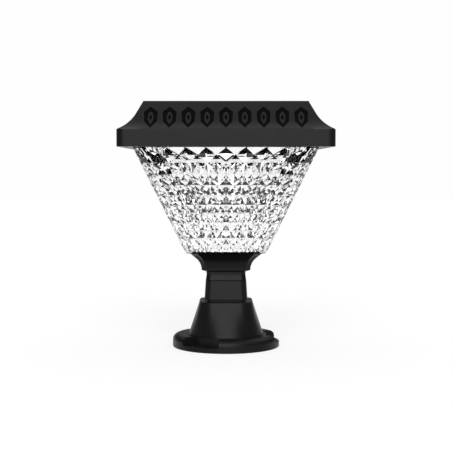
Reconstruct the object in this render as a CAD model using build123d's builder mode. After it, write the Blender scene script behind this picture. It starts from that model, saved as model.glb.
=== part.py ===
# Solar post light: a square cap with a solar panel on top, a clear faceted shade, a flared
# holder on a square neck, and a round flanged base that screws to the top of a pillar.
# Millimetres. Z is up, the base stands on Z = 0, the light looks toward -Y, the button is at +Y.

from build123d import *
from math import cos, radians, sin, sqrt
import os

os.makedirs("parts", exist_ok=True)

# Clearances
seat_gap = 0.3
slip_gap = 0.2
thread_gap = 0.06

# Base
base_height = 57.5
flange_radius = 66.5
flange_height = 15.6
flange_round = 7.0
pocket_count = 3
pocket_angle = 45.0
pocket_floor = 6.0
pocket_inner_radius = 50.0
mount_circle = 115.0
mount_hole_radius = 3.0
cone_foot_width = 93.0
cone_foot_flat_angle = 62.0
cone_top_width = 65.4
cone_top_corner = 17.0
base_wall = 3.0
base_roof = 4.0
rib_thickness = 2.2
rib_rise = 3.0
base_hub_radius = 11.0
base_rib_count = 6

# Neck sleeve
seam_height = 2.5
neck_height = 24.0
neck_bottom_width = 53.2
neck_top_width = 50.2
neck_corner = 8.5
neck_wall = 3.0
neck_roof = 4.0
collar_inset = 3.2
edge_break = 0.6

# Shade holder
holder_height = 35.0
holder_waist_width = 48.0
holder_waist_rise = 7.0
holder_waist_radius = 60.0
holder_ledge_rise = 13.0
holder_ledge_width = 59.8
holder_bend_rise = 26.0
holder_bend_width = 69.4
holder_bend_radius = 20.0
holder_top_width = 88.8
holder_diagonal_ratio = 1.265
holder_wall = 3.0
holder_roof = 4.0
holder_rib_line = 12.0

# Shade
shade_height = 128.0
shade_rows = 7
shade_columns = 8
shade_bottom_width = 97.0
shade_top_corner = 10.5
shade_bottom_corner = 8.5
facet_top_rise = 2.8
facet_bottom_rise = 1.6
shade_wall = 3.0
shade_floor = 3.0
shade_flange = 2.5
shade_flange_lap = 4.3

# Cap
cap_width = 250.0
cap_corner = 9.0
cap_overhang = 17.0
cap_wall = 3.0
rim_height = 19.5
slope_height = 33.5
slope_run = 29.5
flare_run = 22.0
flare_rise = 20.0
flare_radius = 43.0
flare_overrun = 2.0
panel_margin = 6.5
panel_recess_depth = 3.4
panel_recess_corner = 3.0
roof_thickness = 2.6

# Ornaments on the cap sides
ornament_count = 9
ornament_pitch = 21.6
ornament_middle = 14.2
ornament_width = 16.0
ornament_height = 25.0
ornament_upper_shoulder = 6.4
ornament_lower_shoulder = 5.0
ornament_depth = 1.5
ornament_draw = 32.0

# Tray, gaskets and deck
tray_thickness = 3.0
shade_gasket_thickness = 1.5
holder_gasket_depth = 1.5
holder_gasket_width = 4.0
holder_gasket_size = 68.0
deck_thickness = 2.5
deck_corner = 6.0

# Screws: shaft radius, head radius, head height
wood_shaft_radius = 2.0
wood_head_radius = 3.7
wood_head_height = 2.6
wood_length = 14.0
fine_shaft_radius = 1.4
fine_head_radius = 2.7
fine_head_height = 1.6
fine_boss_radius = 3.3
wood_boss_radius = 4.2
base_screw_circle = 17.0
neck_screw_line = 12.0
shade_screw_line = 20.0
shade_screw_length = 12.0
tray_screw_line = 70.0
tray_screw_length = 17.0
board_screw_length = 5.0

# Electronics under and on the deck
led_frame_inset = 33.0
led_frame_depth = 14.0
led_frame_wall = 2.0
led_frame_lip = 1.2
led_post_inset = 7.0
led_board_thickness = 1.6
led_rows = 6
led_pitch = 22.0
led_length = 3.5
led_width = 2.8
led_height = 0.8
control_length = 64.0
control_width = 42.0
control_thickness = 1.6
control_y = 30.0
control_standoff = 5.5
control_screw_inset = 3.6
connector_length = 7.6
connector_width = 5.8
connector_height = 6.0
connector_pitch = 14.0
connector_inset = 7.0
connector_grip = 3.0
lead_radius = 0.75
lead_spread = 1.35
lead_bend = 4.0
battery_y = -45.0
cell_radius = 9.2
cell_length = 64.2
cell_nub_radius = 3.4
cell_nub_height = 1.0
cell_gap = 2.4
holder_side = 1.8
contact_sheet = 0.5
contact_width = 10.0
contact_dome_radius = 3.0

# Mode button
button_radius = 3.0
button_proud = 1.6
button_travel = 1.2
button_flange_radius = 4.0
button_flange = 1.2
button_seal_thickness = 0.8
stem_radius = 1.75
switch_width = 8.0
switch_height = 4.4
switch_board_width = 21.0
switch_board_length = 24.0
switch_board_thickness = 1.2
switch_post_radius = 2.4
switch_post_line = 7.6
deck_notch_width = 23.0
deck_notch_depth = 9.3

# Solar panel
panel_backing_thickness = 1.4
cell_thickness = 0.3
panel_cover_thickness = 1.4
solar_columns = 2
solar_rows = 6
solar_gap = 1.6
solar_border = 3.0
grommet_inset = 18.7
grommet_radius = 4.0
grommet_lip = 1.4
grommet_lip_radius = 6.0
grommet_bore = 2.8

# Levels that follow from the sizes
neck_z = base_height + seam_height
holder_z = neck_z + neck_height
shade_z = holder_z + holder_height
rim_z = shade_z + shade_height
slope_z = rim_z + rim_height
top_z = slope_z + slope_height
tray_top_z = rim_z + tray_thickness
flange_z = tray_top_z + shade_gasket_thickness
deck_z = flange_z + shade_flange
deck_top_z = deck_z + deck_thickness
recess_z = top_z - panel_recess_depth
roof_z = recess_z - roof_thickness

# Half widths that follow from the sizes
cap_half = cap_width / 2
cap_inner_half = cap_half - cap_wall
tray_half = cap_inner_half - seat_gap
shade_top_half = cap_half - cap_overhang
shade_bottom_half = shade_bottom_width / 2
tray_hole_half = shade_top_half + 2 * seat_gap
flange_half = tray_hole_half + shade_flange_lap
post_line = (flange_half + tray_half) / 2
button_y = post_line
panel_recess_width = cap_width - 2 * slope_run - 2 * panel_margin
panel_width = panel_recess_width - 2 * seat_gap
grommet_y = panel_width / 2 - grommet_inset
led_frame_half = shade_top_half - led_frame_inset
led_board_half = led_frame_half - led_frame_wall - seat_gap
led_screw_line = led_board_half - led_post_inset


# Shared shapes
def side_plane(turn):
    angle = radians(turn)
    return Plane(
        origin=(0, 0, 0),
        x_dir=(cos(angle), sin(angle), 0),
        z_dir=(sin(angle), -cos(angle), 0),
    )


def cut_square(half, corner):
    flat = half - corner
    Polygon(
        (flat, -half), (half, -flat), (half, flat), (flat, half),
        (-flat, half), (-half, flat), (-half, -flat), (-flat, -half),
        align=None,
    )


def arc_sector(inner, outer, middle, span):
    with BuildLine() as outline:
        near = CenterArc((0, 0), inner, middle - span / 2, span)
        far = CenterArc((0, 0), outer, middle - span / 2, span)
        Line(near @ 0, far @ 0)
        Line(near @ 1, far @ 1)
    make_face(outline.edges())


# The flare's arc runs on past the rim, so that it crosses the rim's faces
flare_top = (cap_half - flare_run, slope_z + flare_rise)
flare_centre = RadiusArc((cap_half, slope_z), flare_top, flare_radius).arc_center


def cap_form(inset):
    low_z = rim_z - 4 * cap_wall
    skirt = cap_half + flare_overrun
    skirt_drop = sqrt(flare_radius ** 2 - (flare_centre.X - skirt) ** 2)
    with BuildPart() as form:
        for turn in (0, 90):
            with BuildSketch(side_plane(turn)):
                with BuildLine():
                    Line((skirt, low_z), (skirt, flare_centre.Y - skirt_drop))
                    RadiusArc((skirt, flare_centre.Y - skirt_drop), flare_top, flare_radius)
                    Line(flare_top, (cap_half - slope_run, top_z))
                    Line((cap_half - slope_run, top_z), (0, top_z))
                    Line((0, top_z), (0, low_z))
                    Line((0, low_z), (skirt, low_z))
                make_face()
                mirror(about=Plane.YZ)
                if inset > 0:
                    offset(amount=-inset, kind=Kind.INTERSECTION)
            extrude(
                amount=skirt + flare_overrun, both=True,
                mode=Mode.ADD if turn == 0 else Mode.INTERSECT,
            )
        with BuildSketch(Plane.XY.offset(rim_z)):
            RectangleRounded(
                cap_width - 2 * inset, cap_width - 2 * inset, max(cap_corner - inset, 1.0)
            )
        extrude(amount=top_z + flare_overrun - rim_z, mode=Mode.INTERSECT)
    return form.part


def screw(shaft_radius, length, head_radius, head_height):
    with BuildPart() as item:
        with BuildSketch():
            Circle(head_radius)
        extrude(amount=head_height)
        chamfer(item.edges().group_by(Axis.Z)[-1], head_height * 0.45)
        with BuildSketch():
            Circle(shaft_radius)
        extrude(amount=-length)
        chamfer(item.edges().group_by(Axis.Z)[0], shaft_radius * 0.5)
    return item.part


def lead(points):
    with BuildPart() as item:
        with BuildLine() as path:
            FilletPolyline(*points, radius=lead_bend)
        with BuildSketch(Plane(origin=points[0], z_dir=path.line % 0)):
            Circle(lead_radius)
        sweep()
    return item.part


wood_screw = screw(wood_shaft_radius, wood_length, wood_head_radius, wood_head_height)
tray_screw = screw(fine_shaft_radius, tray_screw_length, fine_head_radius, fine_head_height)
board_screw = screw(fine_shaft_radius, board_screw_length, fine_head_radius, fine_head_height)
shade_screw = screw(fine_shaft_radius, shade_screw_length, fine_head_radius, fine_head_height)
spacer_screw = screw(
    fine_shaft_radius, control_thickness + control_standoff + deck_thickness - seat_gap,
    fine_head_radius, fine_head_height,
)

tray_screw_spots = []
for along in (-tray_screw_line, tray_screw_line):
    for across in (-post_line, post_line):
        tray_screw_spots.append((along, across))
        tray_screw_spots.append((across, along))

base_screw_turn = 180 / base_rib_count

# Base: round flange with three screw pockets, hollow cone with ribs
with BuildPart() as base_cavity:
    with BuildSketch():
        Circle(cone_foot_width / 2 - base_wall)
    extrude(amount=flange_height)
    with Locations((0, 0, flange_height)):
        Cone(
            cone_foot_width / 2 - base_wall, cone_top_width / 2 - base_wall,
            base_height - base_roof - flange_height, align=(Align.CENTER, Align.CENTER, Align.MIN),
        )
    with BuildSketch(Plane.XY.offset(rib_rise)):
        Circle(base_hub_radius)
        with PolarLocations(0, base_rib_count):
            Rectangle(cone_foot_width, rib_thickness, align=(Align.MIN, Align.CENTER))
        Circle(base_hub_radius - base_wall, mode=Mode.SUBTRACT)
    extrude(amount=base_height, mode=Mode.SUBTRACT)

with BuildPart() as lug_hollows:
    lug_angle = 360 / pocket_count - pocket_angle - 8
    for index in range(pocket_count):
        with BuildSketch():
            arc_sector(
                pocket_inner_radius + base_wall, flange_radius - base_wall,
                (index + 0.5) * 360 / pocket_count, lug_angle,
            )
        extrude(amount=flange_height - base_wall)
    rims = lug_hollows.edges().group_by(Axis.Z)[-1].filter_by(GeomType.CIRCLE)
    chamfer(
        rims.filter_by(lambda edge: edge.radius > pocket_inner_radius + 2 * base_wall), base_wall
    )

with BuildPart() as base:
    with BuildSketch():
        Circle(flange_radius)
    extrude(amount=flange_height)
    fillet(base.edges().group_by(Axis.Z)[-1], flange_round)
    chamfer(base.edges().group_by(Axis.Z)[0], edge_break)
    for index in range(pocket_count):
        with BuildSketch(Plane.XY.offset(pocket_floor)):
            arc_sector(
                pocket_inner_radius, flange_radius + 5, index * 360 / pocket_count, pocket_angle
            )
        extrude(amount=flange_height, mode=Mode.SUBTRACT)
    with BuildSketch(Plane.XY.offset(flange_height)):
        with BuildLine() as foot:
            for side in range(4):
                start = 90 * side - cone_foot_flat_angle / 2
                CenterArc((0, 0), cone_foot_width / 2, start, cone_foot_flat_angle)
                CenterArc(
                    (0, 0), cone_foot_width / 2, start + cone_foot_flat_angle,
                    90 - cone_foot_flat_angle,
                )
        make_face(foot.edges())
    with BuildSketch(Plane.XY.offset(base_height)):
        RectangleRounded(cone_top_width, cone_top_width, cone_top_corner)
    loft(ruled=True)
    chamfer(base.edges().group_by(Axis.Z)[-1], edge_break)
    add(base_cavity.part, mode=Mode.SUBTRACT)
    add(lug_hollows.part, mode=Mode.SUBTRACT)
    with BuildSketch():
        with PolarLocations(mount_circle / 2, pocket_count):
            Circle(mount_hole_radius)
    extrude(amount=pocket_floor, mode=Mode.SUBTRACT)
    with BuildSketch(Plane.XY.offset(base_height)):
        with PolarLocations(base_screw_circle, 3, start_angle=base_screw_turn):
            Circle(wood_shaft_radius + slip_gap)
    extrude(amount=-base_roof, mode=Mode.SUBTRACT)
base.part.label = "base"
export_step(base.part, "parts/base.step")

with BuildPart() as base_screws:
    with Locations((0, 0, base_height - base_roof)):
        with PolarLocations(base_screw_circle, 3, start_angle=base_screw_turn):
            add(wood_screw, rotation=(180, 0, 0))
base_screws.part.label = "base_screws"
export_step(base_screws.part, "parts/base_screws.step")

# Neck sleeve: rounded square tube with a roof, standing on a set-back collar
with BuildPart() as neck_cavity:
    with BuildSketch(Plane.XY.offset(base_height)):
        RectangleRounded(
            neck_bottom_width - 2 * (collar_inset + neck_wall),
            neck_bottom_width - 2 * (collar_inset + neck_wall),
            neck_corner - neck_wall,
        )
    extrude(amount=seam_height + neck_height - neck_roof)
    with BuildSketch(Plane.XY.offset(base_height)):
        with PolarLocations(0, base_rib_count, start_angle=base_screw_turn):
            Rectangle(neck_bottom_width, rib_thickness, align=(Align.MIN, Align.CENTER))
        with PolarLocations(base_screw_circle, 3, start_angle=base_screw_turn):
            Circle(wood_boss_radius)
    extrude(amount=seam_height + neck_height, mode=Mode.SUBTRACT)

with BuildPart() as neck_sleeve:
    with BuildSketch(Plane.XY.offset(neck_z)):
        RectangleRounded(neck_bottom_width, neck_bottom_width, neck_corner)
    with BuildSketch(Plane.XY.offset(holder_z)):
        RectangleRounded(neck_top_width, neck_top_width, neck_corner)
    loft(ruled=True)
    chamfer(neck_sleeve.edges().group_by(Axis.Z)[-1], edge_break)
    chamfer(neck_sleeve.edges().group_by(Axis.Z)[0], edge_break)
    with BuildSketch(Plane.XY.offset(base_height)):
        RectangleRounded(
            neck_bottom_width - 2 * collar_inset, neck_bottom_width - 2 * collar_inset,
            neck_corner - collar_inset,
        )
    extrude(amount=seam_height + neck_wall)
    add(neck_cavity.part, mode=Mode.SUBTRACT)
    with BuildSketch(Plane.XY.offset(base_height)):
        with PolarLocations(base_screw_circle, 3, start_angle=base_screw_turn):
            Circle(wood_shaft_radius + thread_gap)
    extrude(amount=wood_length, mode=Mode.SUBTRACT)
    with BuildSketch(Plane.XY.offset(holder_z)):
        with GridLocations(2 * neck_screw_line, 2 * neck_screw_line, 2, 2):
            Circle(wood_shaft_radius + slip_gap)
    extrude(amount=-neck_roof, mode=Mode.SUBTRACT)
    with BuildSketch(Plane.XY.offset(holder_z - neck_roof)):
        with GridLocations(2 * neck_screw_line, 2 * neck_screw_line, 2, 2):
            Circle(wood_head_radius + seat_gap)
    extrude(amount=-2 * wood_head_height, mode=Mode.SUBTRACT)
neck_sleeve.part.label = "neck_sleeve"
export_step(neck_sleeve.part, "parts/neck_sleeve.step")

with BuildPart() as neck_screws:
    with Locations((0, 0, holder_z - neck_roof)):
        with GridLocations(2 * neck_screw_line, 2 * neck_screw_line, 2, 2):
            add(wood_screw, rotation=(180, 0, 0))
neck_screws.part.label = "neck_screws"
export_step(neck_screws.part, "parts/neck_screws.step")


# Shade holder: waisted square neck below a ledge, concave flare with cut corners above
def holder_outline(ratio, inset):
    waist = holder_waist_width / 2 * ratio - inset
    foot = neck_top_width / 2 * ratio - inset
    ledge = holder_ledge_width / 2 * ratio - inset
    bend = holder_bend_width / 2 * ratio - inset
    crest = holder_top_width / 2 * ratio - inset
    ledge_z = holder_z + holder_ledge_rise + inset
    with BuildLine() as outline:
        Line((0, holder_z), (foot, holder_z))
        RadiusArc((foot, holder_z), (waist, holder_z + holder_waist_rise), holder_waist_radius)
        Line((waist, holder_z + holder_waist_rise), (waist, ledge_z - holder_waist_rise / 3))
        Line((waist, ledge_z - holder_waist_rise / 3), (ledge, ledge_z))
        RadiusArc(
            (ledge, ledge_z), (bend, holder_z + holder_bend_rise), holder_bend_radius * ratio
        )
        Line((bend, holder_z + holder_bend_rise), (crest, shade_z))
        Line((crest, shade_z), (0, shade_z))
        Line((0, shade_z), (0, holder_z))
    make_face(outline.edges())
    mirror(about=Plane.YZ)


with BuildPart() as holder_cavity:
    for turn in (0, 90):
        with BuildSketch(side_plane(turn)):
            holder_outline(1, holder_wall)
        extrude(
            amount=holder_top_width, both=True,
            mode=Mode.ADD if turn == 0 else Mode.INTERSECT,
        )
    with BuildSketch(Plane.XY.offset(shade_z - holder_roof)):
        Rectangle(2 * holder_top_width, 2 * holder_top_width)
    extrude(amount=2 * holder_roof, mode=Mode.SUBTRACT)
    with BuildSketch(Plane.XY.offset(holder_z)):
        for line in (-holder_rib_line, holder_rib_line):
            with Locations((line, 0)):
                Rectangle(rib_thickness, holder_top_width)
            with Locations((0, line)):
                Rectangle(holder_top_width, rib_thickness)
        with GridLocations(2 * neck_screw_line, 2 * neck_screw_line, 2, 2):
            Circle(wood_boss_radius)
    extrude(amount=holder_height, mode=Mode.SUBTRACT)
    with BuildSketch(Plane.XY.offset(shade_z - shade_screw_length - holder_wall)):
        with GridLocations(2 * shade_screw_line, 2 * shade_screw_line, 2, 2):
            Circle(fine_boss_radius)
    extrude(amount=holder_height, mode=Mode.SUBTRACT)

with BuildPart() as shade_holder:
    for turn in (0, 90, 45, 135):
        with BuildSketch(side_plane(turn)):
            holder_outline(1 if turn in (0, 90) else holder_diagonal_ratio, 0)
        extrude(
            amount=holder_top_width, both=True,
            mode=Mode.ADD if turn == 0 else Mode.INTERSECT,
        )
    chamfer(shade_holder.edges().group_by(Axis.Z)[0], edge_break)
    add(holder_cavity.part, mode=Mode.SUBTRACT)
    with BuildSketch(Plane.XY.offset(holder_z)):
        with GridLocations(2 * neck_screw_line, 2 * neck_screw_line, 2, 2):
            Circle(wood_shaft_radius + thread_gap)
    extrude(amount=wood_length - neck_roof + seat_gap, mode=Mode.SUBTRACT)
    with BuildSketch(Plane.XY.offset(shade_z)):
        with GridLocations(2 * shade_screw_line, 2 * shade_screw_line, 2, 2):
            Circle(fine_shaft_radius + thread_gap)
    extrude(amount=-(shade_screw_length - shade_floor + seat_gap), mode=Mode.SUBTRACT)
    with BuildSketch(Plane.XY.offset(shade_z)):
        RectangleRounded(holder_gasket_size, holder_gasket_size, 2 * holder_gasket_width)
        offset(amount=-holder_gasket_width, mode=Mode.SUBTRACT)
    extrude(amount=-holder_gasket_depth, mode=Mode.SUBTRACT)
shade_holder.part.label = "shade_holder"
export_step(shade_holder.part, "parts/shade_holder.step")

with BuildPart() as holder_gasket:
    with BuildSketch(Plane.XY.offset(shade_z)):
        RectangleRounded(
            holder_gasket_size - slip_gap, holder_gasket_size - slip_gap,
            2 * holder_gasket_width - slip_gap,
        )
        offset(amount=slip_gap - holder_gasket_width, mode=Mode.SUBTRACT)
    extrude(amount=-holder_gasket_depth)
holder_gasket.part.label = "holder_gasket"
export_step(holder_gasket.part, "parts/holder_gasket.step")

# Lamp shade: every cell of the four sides and the cut corners is a low four-sided pyramid
facet_lean = (shade_top_half - shade_bottom_half) / shade_height


def shade_share(row):
    return row / shade_rows


def shade_level(row):
    return shade_z + shade_height * shade_share(row)


def shade_reach(row):
    return shade_bottom_half + (shade_top_half - shade_bottom_half) * shade_share(row)


def shade_leg(row):
    return shade_bottom_corner + (shade_top_corner - shade_bottom_corner) * shade_share(row)


def shade_node(side, row, column):
    flat = shade_reach(row) - shade_leg(row)
    spot = Vector(flat * (2 * column / shade_columns - 1), -shade_reach(row), shade_level(row))
    return spot.rotate(Axis.Z, 90 * (side % 4))


def flat_face(points):
    return Face(Wire.make_polygon(points))


def facet_cell(low_left, low_right, high_right, high_left, rise):
    corners = [low_left, low_right, high_right, high_left]
    centre = (low_left + low_right + high_right + high_left) * 0.25
    outward = (low_right - low_left).cross(high_left - low_left).normalized()
    peak = centre + outward * rise
    return [flat_face([corners[k - 1], corners[k], peak]) for k in range(4)]


facets = []
for row in range(shade_rows):
    rise = facet_bottom_rise + (facet_top_rise - facet_bottom_rise) * shade_share(row + 0.5)
    for side in range(4):
        for column in range(shade_columns):
            facets += facet_cell(
                shade_node(side, row, column), shade_node(side, row, column + 1),
                shade_node(side, row + 1, column + 1), shade_node(side, row + 1, column), rise,
            )
        facets += facet_cell(
            shade_node(side, row, shade_columns), shade_node(side + 1, row, 0),
            shade_node(side + 1, row + 1, 0), shade_node(side, row + 1, shade_columns), rise,
        )
for row in (0, shade_rows):
    outline = []
    for side in range(4):
        outline += [shade_node(side, row, column) for column in range(shade_columns + 1)]
    facets.append(flat_face(outline))

wall_reach = shade_wall * sqrt(1 + facet_lean ** 2)
mouth_half = shade_top_half - wall_reach
mouth_leg = shade_top_corner
well_half = shade_bottom_half + facet_lean * shade_floor - wall_reach



def well_corners(half, leg, level):
    corners = []
    for side in range(4):
        for along in (leg - half, half - leg):
            corners.append(Vector(along, -half, level).rotate(Axis.Z, 90 * side))
    return corners


well_foot = well_corners(well_half, shade_bottom_corner, shade_z + shade_floor)
well_mouth = well_corners(mouth_half, mouth_leg, rim_z)
well_faces = [flat_face(well_foot), flat_face(well_mouth)]
for k in range(len(well_foot)):
    well_faces.append(flat_face([well_foot[k - 1], well_foot[k], well_mouth[k], well_mouth[k - 1]]))

with BuildPart() as lamp_shade:
    add(Solid(Shell(facets)))
    with BuildSketch(Plane.XY.offset(rim_z)):
        cut_square(shade_top_half - seat_gap, shade_top_corner)
    extrude(amount=flange_z - rim_z)
    with BuildSketch(Plane.XY.offset(flange_z)):
        cut_square(flange_half, shade_top_corner)
    extrude(amount=shade_flange)
    add(Solid(Shell(well_faces)), mode=Mode.SUBTRACT)
    with BuildSketch(Plane.XY.offset(rim_z)):
        cut_square(mouth_half, mouth_leg)
    extrude(amount=deck_z - rim_z, mode=Mode.SUBTRACT)
    with BuildSketch(Plane.XY.offset(shade_z)):
        with GridLocations(2 * shade_screw_line, 2 * shade_screw_line, 2, 2):
            Circle(fine_shaft_radius + slip_gap)
    extrude(amount=shade_floor, mode=Mode.SUBTRACT)
lamp_shade.part.label = "lamp_shade"
export_step(lamp_shade.part, "parts/lamp_shade.step")

with BuildPart() as shade_screws:
    with Locations((0, 0, shade_z + shade_floor)):
        with GridLocations(2 * shade_screw_line, 2 * shade_screw_line, 2, 2):
            add(shade_screw)
shade_screws.part.label = "shade_screws"
export_step(shade_screws.part, "parts/shade_screws.step")

with BuildPart() as shade_gasket:
    with BuildSketch(Plane.XY.offset(tray_top_z)):
        cut_square(flange_half - seat_gap, shade_top_corner)
    extrude(amount=shade_gasket_thickness)
    with BuildSketch(Plane.XY.offset(tray_top_z)):
        cut_square(tray_hole_half + seat_gap, shade_top_corner)
    extrude(amount=shade_gasket_thickness, mode=Mode.SUBTRACT)
shade_gasket.part.label = "shade_gasket"
export_step(shade_gasket.part, "parts/shade_gasket.step")

# Tray: the ring under the cap, with screw posts and the button hole
switch_board_z = tray_top_z + button_seal_thickness + button_flange + button_travel
switch_z = switch_board_z + seat_gap
switch_board_z = switch_z + switch_height
with BuildPart() as cap_tray:
    with BuildSketch(Plane.XY.offset(rim_z)):
        RectangleRounded(2 * tray_half, 2 * tray_half, cap_corner - cap_wall - seat_gap)
    extrude(amount=tray_thickness)
    with BuildSketch(Plane.XY.offset(rim_z)):
        cut_square(tray_hole_half, shade_top_corner)
    extrude(amount=tray_thickness, mode=Mode.SUBTRACT)
    with BuildSketch(Plane.XY.offset(tray_top_z)):
        with Locations(*tray_screw_spots):
            Circle(fine_boss_radius)
    extrude(amount=deck_z - tray_top_z)
    with BuildSketch(Plane.XY.offset(tray_top_z)):
        with Locations((-switch_post_line, button_y), (switch_post_line, button_y)):
            Circle(switch_post_radius)
    extrude(amount=switch_board_z - tray_top_z)
    with BuildSketch(Plane.XY.offset(rim_z)):
        with Locations(*tray_screw_spots):
            Circle(fine_head_radius + slip_gap)
    extrude(amount=fine_head_height + slip_gap, mode=Mode.SUBTRACT)
    with BuildSketch(Plane.XY.offset(rim_z)):
        with Locations(*tray_screw_spots):
            Circle(fine_shaft_radius + slip_gap)
        with Locations((0, button_y)):
            Circle(button_radius + slip_gap)
    extrude(amount=deck_z - rim_z, mode=Mode.SUBTRACT)
    with BuildSketch(Plane.XY.offset(switch_board_z)):
        with Locations((-switch_post_line, button_y), (switch_post_line, button_y)):
            Circle(fine_shaft_radius + thread_gap)
    extrude(amount=-board_screw_length, mode=Mode.SUBTRACT)
cap_tray.part.label = "cap_tray"
export_step(cap_tray.part, "parts/cap_tray.step")

with BuildPart() as tray_screws:
    with Locations((0, 0, rim_z + fine_head_height + slip_gap)):
        with Locations(*tray_screw_spots):
            add(tray_screw, rotation=(180, 0, 0))
tray_screws.part.label = "tray_screws"
export_step(tray_screws.part, "parts/tray_screws.step")

# Cap housing: hollow lid, ornaments sunk into the flared sides, recess for the panel
ornament_z = slope_z + ornament_middle
ornament_floor = cap_form(ornament_depth)
with BuildPart() as ornament_cutters:
    for turn in (0, 90, 180, 270):
        with BuildSketch(side_plane(turn).offset(cap_half)):
            with Locations((0, ornament_z)):
                with GridLocations(ornament_pitch, 0, ornament_count, 1):
                    Polygon(
                        (ornament_width / 2, ornament_upper_shoulder),
                        (0, ornament_height / 2),
                        (-ornament_width / 2, ornament_upper_shoulder),
                        (-ornament_width / 2 * 0.92, -ornament_lower_shoulder),
                        (0, -ornament_height / 2),
                        (ornament_width / 2 * 0.92, -ornament_lower_shoulder),
                        align=None,
                    )
        extrude(amount=-ornament_draw)
    add(ornament_floor, mode=Mode.SUBTRACT)

cap_outer = cap_form(0)
cap_inner = cap_form(cap_wall)
with BuildPart() as cap_cavity:
    add(cap_inner)
    with BuildSketch(Plane.XY.offset(roof_z)):
        Rectangle(cap_width, cap_width)
    extrude(amount=top_z - roof_z, mode=Mode.SUBTRACT)
    with BuildSketch(Plane.XY.offset(deck_top_z)):
        with Locations(*tray_screw_spots):
            Circle(fine_boss_radius)
    extrude(amount=slope_height, mode=Mode.SUBTRACT)

with BuildPart() as cap_housing:
    add(cap_outer)
    add(ornament_cutters.part, mode=Mode.SUBTRACT)
    add(cap_cavity.part, mode=Mode.SUBTRACT)
    with BuildSketch(Plane.XY.offset(top_z)):
        RectangleRounded(panel_recess_width, panel_recess_width, panel_recess_corner)
    extrude(amount=-panel_recess_depth, mode=Mode.SUBTRACT)
    with BuildSketch(Plane.XY.offset(recess_z)):
        with Locations((0, grommet_y)):
            Circle(grommet_radius + slip_gap)
    extrude(amount=-roof_thickness, mode=Mode.SUBTRACT)
    with BuildSketch(Plane.XY.offset(deck_top_z)):
        with Locations(*tray_screw_spots):
            Circle(fine_shaft_radius + thread_gap)
    extrude(
        amount=rim_z + fine_head_height + slip_gap + tray_screw_length + seat_gap - deck_top_z,
        mode=Mode.SUBTRACT,
    )
cap_housing.part.label = "cap_housing"
export_step(cap_housing.part, "parts/cap_housing.step")

# Deck: the plate that clamps the shade and carries the electronics, with a frame for the led board
led_board_z = deck_z - led_frame_depth + led_frame_lip
connector_y = control_y - control_width / 2 + connector_inset
led_hole_x = -connector_pitch / 2
led_hole_y = connector_y - 2 * connector_pitch
control_screw_x = control_length / 2 - control_screw_inset
control_screw_y = control_width / 2 - control_screw_inset
with BuildPart() as led_plate:
    with BuildSketch(Plane.XY.offset(deck_z)):
        RectangleRounded(2 * (tray_half - seat_gap), 2 * (tray_half - seat_gap), deck_corner)
        with Locations((0, tray_half)):
            Rectangle(
                deck_notch_width, 2 * deck_notch_depth, mode=Mode.SUBTRACT,
            )
    extrude(amount=deck_thickness)
    with BuildSketch(Plane.XY.offset(deck_z)):
        RectangleRounded(2 * led_frame_half, 2 * led_frame_half, deck_corner)
        offset(amount=-led_frame_wall, mode=Mode.SUBTRACT)
    extrude(amount=-led_frame_depth)
    with BuildSketch(Plane.XY.offset(led_board_z + led_board_thickness)):
        with GridLocations(2 * led_screw_line, 2 * led_screw_line, 2, 2):
            Circle(fine_boss_radius)
    extrude(amount=deck_z - led_board_z - led_board_thickness)
    with BuildSketch(Plane.XY.offset(deck_z)):
        with Locations(*tray_screw_spots):
            Circle(fine_shaft_radius + slip_gap)
        with Locations((led_hole_x, led_hole_y)):
            Circle(2 * lead_spread)
    extrude(amount=deck_thickness, mode=Mode.SUBTRACT)
    with BuildSketch(Plane.XY.offset(led_board_z + led_board_thickness)):
        with GridLocations(2 * led_screw_line, 2 * led_screw_line, 2, 2):
            Circle(fine_shaft_radius + thread_gap)
    extrude(amount=board_screw_length, mode=Mode.SUBTRACT)
    with BuildSketch(Plane.XY.offset(deck_top_z)):
        with Locations((0, control_y)):
            with GridLocations(2 * control_screw_x, 2 * control_screw_y, 2, 2):
                Circle(fine_shaft_radius + thread_gap)
    extrude(amount=-deck_thickness, mode=Mode.SUBTRACT)
led_plate.part.label = "led_plate"
export_step(led_plate.part, "parts/led_plate.step")

# Led board at the foot of the frame under the deck
with BuildPart() as led_board:
    with BuildSketch(Plane.XY.offset(led_board_z)):
        RectangleRounded(
            2 * led_board_half, 2 * led_board_half, deck_corner - led_frame_wall - seat_gap
        )
        with GridLocations(2 * led_screw_line, 2 * led_screw_line, 2, 2):
            Circle(fine_shaft_radius + slip_gap, mode=Mode.SUBTRACT)
    extrude(amount=led_board_thickness)
led_board.part.label = "led_board"
export_step(led_board.part, "parts/led_board.step")

with BuildPart() as led_chips:
    with BuildSketch(Plane.XY.offset(led_board_z)):
        with GridLocations(led_pitch, led_pitch, led_rows, led_rows):
            Rectangle(led_length, led_width)
    extrude(amount=-led_height)
led_chips.part.label = "led_chips"
export_step(led_chips.part, "parts/led_chips.step")

with BuildPart() as led_screws:
    with Locations((0, 0, led_board_z)):
        with GridLocations(2 * led_screw_line, 2 * led_screw_line, 2, 2):
            add(board_screw, rotation=(180, 0, 0))
led_screws.part.label = "led_screws"
export_step(led_screws.part, "parts/led_screws.step")

# Control board on four spacers
control_z = deck_top_z + control_standoff
control_top_z = control_z + control_thickness
connector_top_z = control_top_z + connector_height
connector_xs = [(index - 1.5) * connector_pitch for index in range(4)]
with BuildPart() as control_spacers:
    with BuildSketch(Plane.XY.offset(deck_top_z)):
        with Locations((0, control_y)):
            with GridLocations(2 * control_screw_x, 2 * control_screw_y, 2, 2):
                Circle(fine_boss_radius)
                Circle(fine_shaft_radius + slip_gap, mode=Mode.SUBTRACT)
    extrude(amount=control_standoff)
control_spacers.part.label = "control_spacers"
export_step(control_spacers.part, "parts/control_spacers.step")

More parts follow.
